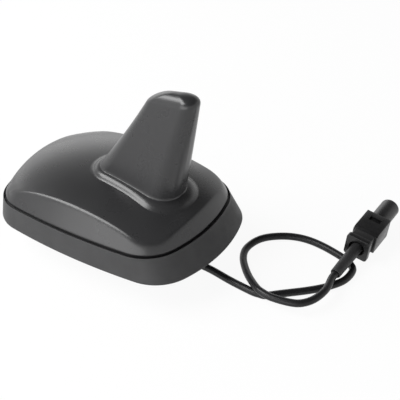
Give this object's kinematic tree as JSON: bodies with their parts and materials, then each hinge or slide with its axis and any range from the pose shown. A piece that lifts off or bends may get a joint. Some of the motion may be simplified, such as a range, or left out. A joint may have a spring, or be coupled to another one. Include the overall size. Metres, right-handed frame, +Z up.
{
  "type": "roof aerial",
  "caption": "Roof aerial with a low moulded cover and swept fin, flared rubber seal pad, cast base with hollow mounting neck, boards inside, thin coaxial cable and plug",
  "frame": {"origin": "On the middle line of the mounting neck, in the plane of the seal pad's underside, which is the roof skin", "axes": "+X to the rear of the car along the body, +Y to the car's side, +Z up from the roof"},
  "size_m": [0.1526, 0.1161, 0.0861],
  "materials": {
    "cover_plastic": "satin",
    "pad_rubber": "matte",
    "seal_rubber": "matte",
    "cast_metal": "cast",
    "plated_steel": "zinc plated",
    "screw_steel": "zinc plated",
    "board": "solder resist",
    "tinned_steel": "tinned",
    "chip_plastic": "matte",
    "filter_ceramic": "matte",
    "capacitor_ceramic": "matte",
    "copper": "bright",
    "gilt_brass": "gold flash",
    "tinned_brass": "tinned",
    "cable_jacket": "satin",
    "boot_rubber": "matte",
    "plug_plastic": "satin",
    "lock_plastic": "satin",
    "white_insulator": "smooth"
  },
  "bodies": {
    "root": {"cover": "cover_plastic", "seal_pad": "pad_rubber", "neck_seal": "seal_rubber", "base_plate": "cast_metal", "mounting_neck": "plated_steel", "cable_bush": "seal_rubber", "cover_screws": "screw_steel", "amplifier_board": "board", "board_screws": "screw_steel", "shield_can": "tinned_steel", "amplifier_chip": "chip_plastic", "band_filter": "filter_ceramic", "capacitors": "capacitor_ceramic", "fin_board": "board", "fin_conductor": "copper", "fin_contact": "gilt_brass", "cable_ferrule": "tinned_brass", "cable_core": "copper", "antenna_cable": "cable_jacket", "plug_boot": "boot_rubber", "plug_housing": "plug_plastic", "plug_lock": "lock_plastic", "plug_ferrule": "tinned_brass", "plug_shell": "gilt_brass", "plug_insulator": "white_insulator", "plug_pin": "gilt_brass"}
  },
  "joints": []
}
